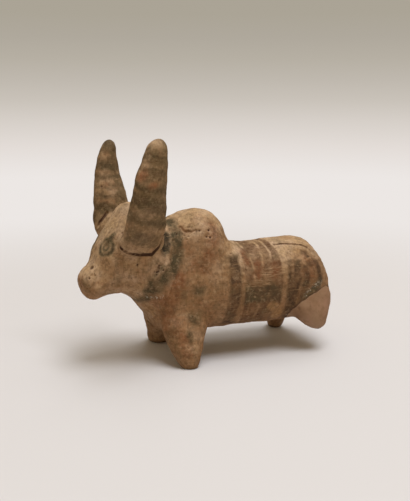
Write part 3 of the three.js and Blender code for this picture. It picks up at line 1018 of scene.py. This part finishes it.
def mixed(tree, amount, first, second):
    """A blend of two colours. A Mix node's inputs 6 and 7 and its output 2 are its colours."""
    inputs = {"Factor": amount, 6: first, 7: second}
    return add(tree, "Mix", inputs, data_type="RGBA", clamp_factor=True).outputs[2]


def eased(tree, value, low, high):
    """0 below low, 1 above high, and a soft step between them."""
    inputs = {"Value": value, "From Min": low, "From Max": high}
    return add(tree, "MapRange", inputs, interpolation_type="SMOOTHSTEP").outputs[0]


def place_in_mm(tree, stretch):
    place = add(tree, "TexCoord").outputs["Object"]
    scale = [1 / MM / length for length in stretch]
    return add(tree, "VectorMath", {0: place, 1: scale}, operation="MULTIPLY").outputs[0]


def grain(tree, size, detail, shift, stretch=(1, 1, 1)):
    """Noise from 0 to 1 with spots of a size in millimetres, drawn out by stretch."""
    place = place_in_mm(tree, stretch)
    inputs = {"Vector": place, "W": shift, "Scale": 1 / size, "Detail": detail, "Roughness": 0.6}
    return add(tree, "TexNoise", inputs, noise_dimensions="4D").outputs[0]


def stroke_depth(tree, name):
    return add(tree, "Attribute", attribute_name=name).outputs["Fac"]


def stained(tree, under, cover, strength, tone):
    return mixed(tree, maths(tree, "MULTIPLY", cover, strength), under, linear(tone))


def spot_cover(tree, spots):
    """1 in the middle of the spots and 0 between them."""
    value = grain(tree, spots.size, spots.detail, spots.shift, spots.stretch)
    return eased(tree, value, spots.start, spots.full)


def spotted(tree, under, layers):
    """Layers of spots over another colour."""
    for spots in layers:
        under = stained(tree, under, spot_cover(tree, spots), spots.strength, spots.tone)
    return under


def strewn(tree, under, spots, attribute, edge):
    """Spots over another colour, only inside the strokes of an attribute."""
    inside = eased(tree, stroke_depth(tree, attribute), *edge)
    cover = maths(tree, "MULTIPLY", inside, spot_cover(tree, spots))
    return stained(tree, under, cover, spots.strength, spots.tone)


def kept_share(tree, spots, shift):
    """How much of a coat its wear leaves. The shift is the coat's own."""
    whole = spot_cover(tree, spots._replace(shift=spots.shift + shift))
    return scaled(tree, whole, spots.strength, 1 - spots.strength)


def worn_coat(tree, under, coat):
    """A worn coat over another colour, inside the strokes of an attribute: paint, and in a few coats painted
    shade.
    """
    wobble = maths(tree, "SUBTRACT", grain(tree, **COAT_EDGE, shift=coat.shift), 0.5)
    depth = scaled(tree, wobble, coat.ragged, stroke_depth(tree, coat.attribute))
    cover = eased(tree, depth, -coat.soft, coat.soft)
    kept = maths(tree, "MULTIPLY", *[kept_share(tree, spots, coat.shift) for spots in WHOLE_SPOTS])
    cover = maths(tree, "MULTIPLY", cover, kept)
    return stained(tree, under, cover, coat.opacity * COAT_GAIN, coat.tone)


def clay_colour(tree, tones):
    """Bare clay: clouds of tone, paler where it is rubbed and dusty and where painted top light falls on
    up-facing surfaces, with faint brush streaks.
    """
    cloud = spot_cover(tree, CLAY_CLOUD)
    low, high = [mixed(tree, cloud, linear(first), linear(second)) for first, second in tones]
    patch = maths(tree, "SUBTRACT", grain(tree, **PALE_PATCHES), 0.5)
    pale = scaled(tree, patch, PALE_PATCH_STRENGTH, stroke_depth(tree, "pale"))
    bare = mixed(tree, eased(tree, pale, 0.0, 1.0), low, high)
    return spotted(tree, bare, CLAY_SPOTS)


def weathered(tree, colour):
    """Grime, specks, dust and fine scratches over the clay and its paint, and dark brown in the cracks and
    pits, darker the deeper they go.
    """
    colour = spotted(tree, colour, WEATHER_SPOTS)
    near_break = maths(tree, "SUBTRACT", BREAK_STAIN_REACH, stroke_depth(tree, "break_edge"))
    colour = stained(tree, colour, eased(tree, near_break, 0.0, BREAK_STAIN_FADE), *BREAK_STAIN)
    return stained(tree, colour, eased(tree, stroke_depth(tree, "crack_and_pit_depth"), *CRACK_DARK_DEPTHS), *CRACK_DARK_TONE)


def clay_relief(tree, strength):
    """The fine grain of the surface and the streaks that the brush and fingers left."""
    height = maths(tree, "ADD", grain(tree, **FINE_GRAIN), grain(tree, **FINGER_STREAKS))
    return add(tree, "Bump", {"Strength": strength, "Distance": RELIEF_HEIGHT, "Height": height}).outputs[0]


def new_material(name):
    material = bpy.data.materials.new(name)
    material.use_nodes = True
    return material, material.node_tree, material.node_tree.nodes["Principled BSDF"]


def finish_shader(tree, shader, colour, roughness, relief):
    feed(tree, shader, {"Base Color": colour, "Roughness": roughness, "Specular IOR Level": 0.3})
    feed(tree, shader, {"Normal": clay_relief(tree, relief)})


def painted_clay():
    """Fired tan clay with worn umber and grey-green earth paint, matt, with rusty stains. Painted top light
    makes it paler where it faces up, and painted shade and glints sit in a few places.
    """
    material, tree, shader = new_material("fired_clay_with_worn_earth_paint")
    colour = clay_colour(tree, BODY_TONES)
    for coat in BODY_COATS:
        colour = worn_coat(tree, colour, coat)
    colour = weathered(tree, colour)
    colour = strewn(tree, colour, CRUST_AND_GLINT_FLECKS, "crust_and_glints", CRUST_AND_GLINT_EDGE)
    colour = strewn(tree, colour, SCRATCHES, "scratched", SCRATCHED_EDGE)
    shine = eased(tree, stroke_depth(tree, "gloss"), *GLOSS_EDGE)
    finish_shader(tree, shader, colour, scaled(tree, shine, -GLOSS, CLAY_ROUGHNESS), CLAY_RELIEF)
    return material


def banded_horn_clay():
    """Fired clay under a brown wash that is worn off in places, with dark bands, and paler where it faces up,
    partly from painted top light.
    """
    material, tree, shader = new_material("fired_clay_with_worn_dark_bands")
    colour = clay_colour(tree, HORN_TONES)
    for coat in HORN_COATS:
        colour = worn_coat(tree, colour, coat)
    finish_shader(tree, shader, weathered(tree, colour), CLAY_ROUGHNESS, CLAY_RELIEF)
    return material


def smooth_filler():
    """Repair plaster toned pinkish beige, smoother than the clay, with a chipped brown rim that is partly
    painted shade along its lower edge.
    """
    material, tree, shader = new_material("toned_repair_plaster")
    colour = mixed(tree, spot_cover(tree, FILLER_CLOUD), *[linear(tone) for tone in FILLER_TONES])
    colour = spotted(tree, colour, FILLER_SPOTS)
    colour = worn_coat(tree, colour, FILLER_RIM_AND_EDGE_SHADE)
    colour = strewn(tree, colour, FILLER_CRUST, "crust_and_glints", CRUST_AND_GLINT_EDGE)
    finish_shader(tree, shader, colour, FILLER_ROUGHNESS, FILLER_RELIEF)
    return material


# The camera, the paper and the lights, in metres

CAMERA_PLACE = (-0.095, -0.2762, 0.0975)
CAMERA_TILT = math.radians(11.34)  # how far it looks down
CAMERA_TURN = math.radians(-19)
CAMERA_LENS = 57.49  # on a 36 mm wide sensor
BACKDROP_RADIUS = 0.75
BACKDROP_CURVE = 0.12
BACKDROP_HEIGHT = 0.7
BACKDROP_TURNS = 96  # faces all round
FLOOR_STEPS = 6
CURVE_STEPS = 12
PAPER_TONE = "D9D6D7"
# The backdrop's colour at heights above the floor: darker higher up, painted shade where the light falls off
BACKDROP_TONES = [
    (0.0, "ECE7E4"),
    (0.03, "E3DCD7"),
    (0.06, "D6CFC8"),
    (0.085, "C9C2B9"),
    (0.11, "BFB8AE"),
    (0.136, "B6AFA3"),
    (0.162, "AFA89C"),
    (0.19, "ABA496"),
    (0.3, "A8A093"),
]
GLOW_RADII = (0.1, 0.36)  # from lit paper with the shadow on it to an even glow
# The soft lights: place, side and power in watts
SOFT_LIGHTS = {
    "soft_box_front": ((0.16, -0.4, 1.45), 0.8, 16.2),
    "soft_box_back": ((0.3, 0.4, 1.4), 0.8, 4.2),
}
LIGHT_COLOUR = (0.93, 0.96, 1.0)
ROOM_TONE = "FBE7C3"
ROOM_STRENGTH = 0.4


def add_camera():
    data = bpy.data.cameras.new("camera")
    data.lens = CAMERA_LENS
    camera = add_object(data, "camera")
    camera.location = CAMERA_PLACE
    camera.rotation_euler = (math.pi / 2 - CAMERA_TILT, 0, CAMERA_TURN)
    bpy.context.scene.camera = camera


def backdrop_profile():
    """Radius and height along the paper, from the middle of the floor to the top of its upturned rim."""
    flat = BACKDROP_RADIUS - BACKDROP_CURVE
    profile = [(flat * step / FLOOR_STEPS, 0) for step in range(1, FLOOR_STEPS + 1)]
    for step in range(1, CURVE_STEPS + 1):
        angle = math.pi / 2 * step / CURVE_STEPS
        rise = BACKDROP_CURVE * (1 - math.cos(angle))
        profile.append((flat + BACKDROP_CURVE * math.sin(angle), rise))
    profile.append((BACKDROP_RADIUS, BACKDROP_HEIGHT))
    return profile


def backdrop_tone(tree, height):
    """The backdrop's colour at a height, with painted shade higher up."""
    top = BACKDROP_TONES[-1][0]
    ramp = add(tree, "ValToRGB", {0: maths(tree, "DIVIDE", height, top)})
    stops = ramp.color_ramp.elements
    stops[0].color = linear(BACKDROP_TONES[0][1])
    stops[-1].color = linear(BACKDROP_TONES[-1][1])
    for level, tone in BACKDROP_TONES[1:-1]:
        stops.new(level / top).color = linear(tone)
    return ramp.outputs[0]


def paper_material():
    """Matt paper: it shows the shadow near the object and glows as a lit backdrop further out, darker higher
    up as painted shade.
    """
    material, tree, shader = new_material("matt_backdrop_paper")
    feed(tree, shader, {"Base Color": linear(PAPER_TONE), "Roughness": 0.95, "Specular IOR Level": 0.1})
    place = add(tree, "TexCoord").outputs["Object"]
    parts = add(tree, "SeparateXYZ", {0: place})
    flat = add(tree, "VectorMath", {0: place, 1: (1, 1, 0)}, operation="MULTIPLY").outputs[0]
    radius = add(tree, "VectorMath", {0: flat}, operation="LENGTH").outputs["Value"]
    glow = add(tree, "Emission", {"Color": backdrop_tone(tree, parts.outputs["Z"])}).outputs[0]
    clear = add(tree, "BsdfTransparent").outputs[0]
    seen = add(tree, "LightPath").outputs["Is Camera Ray"]
    far_paper = add(tree, "MixShader", {0: seen, 1: clear, 2: glow}).outputs[0]
    away = eased(tree, radius, *GLOW_RADII)
    both = add(tree, "MixShader", {0: away, 1: shader.outputs[0], 2: far_paper}).outputs[0]
    tree.links.new(both, tree.nodes["Material Output"].inputs["Surface"])
    return material


def add_backdrop():
    shape = bmesh.new()
    middle = shape.verts.new((0, 0, 0))
    angles = [2 * math.pi * step / BACKDROP_TURNS for step in range(BACKDROP_TURNS)]
    rings = []
    for radius, height in backdrop_profile():
        rings.append([shape.verts.new((radius * math.cos(a), radius * math.sin(a), height)) for a in angles])
    for step in range(BACKDROP_TURNS):
        following = (step + 1) % BACKDROP_TURNS
        shape.faces.new((middle, rings[0][step], rings[0][following]))
        for inner, outer in zip(rings[:-1], rings[1:]):
            shape.faces.new((inner[step], outer[step], outer[following], inner[following]))
    for face in shape.faces:
        face.smooth = True
    backdrop = add_object(mesh_of(shape, "paper_backdrop"), "paper_backdrop")
    backdrop.data.materials.append(paper_material())


def add_soft_light(name, place, side, power):
    data = bpy.data.lights.new(name, "AREA")
    data.shape = "SQUARE"
    data.size = side
    data.energy = power
    data.color = LIGHT_COLOUR
    light = add_object(data, name)
    light.location = place
    light.rotation_euler = (-light.location).to_track_quat("-Z", "Y").to_euler()


def add_lights():
    for name, (place, side, power) in SOFT_LIGHTS.items():
        add_soft_light(name, place, side, power)
    world = bpy.data.worlds.new("room")
    world.use_nodes = True
    tree = world.node_tree
    feed(tree, tree.nodes["Background"], {"Color": linear(ROOM_TONE), "Strength": ROOM_STRENGTH})
    bpy.context.scene.world = world


def add_figure():
    """The nine pieces, each with its paint, in place of its CAD node."""
    skin = fused_skin()
    pits = strewn_pits(read_points(skin.data))
    finish_skin(skin, pits)
    lookup = skin_lookup(skin)
    pieces = cut_pieces(skin)
    looks = {
        "painted_clay": painted_clay(),
        "horn_clay": banded_horn_clay(),
        "repair_filler": smooth_filler(),
    }
    for node, piece in pieces.items():
        drop_crumbs(piece.data)
        shade(piece.data)
        place_paint(node, piece, pits, lookup)
        piece.data.materials.clear()
        piece.data.materials.append(looks[SLOTS[node]])
        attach(piece, "root")
        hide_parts(node)


add_figure()
add_backdrop()
add_lights()
add_camera()
scene = bpy.context.scene
scene.view_settings.view_transform = "Standard"
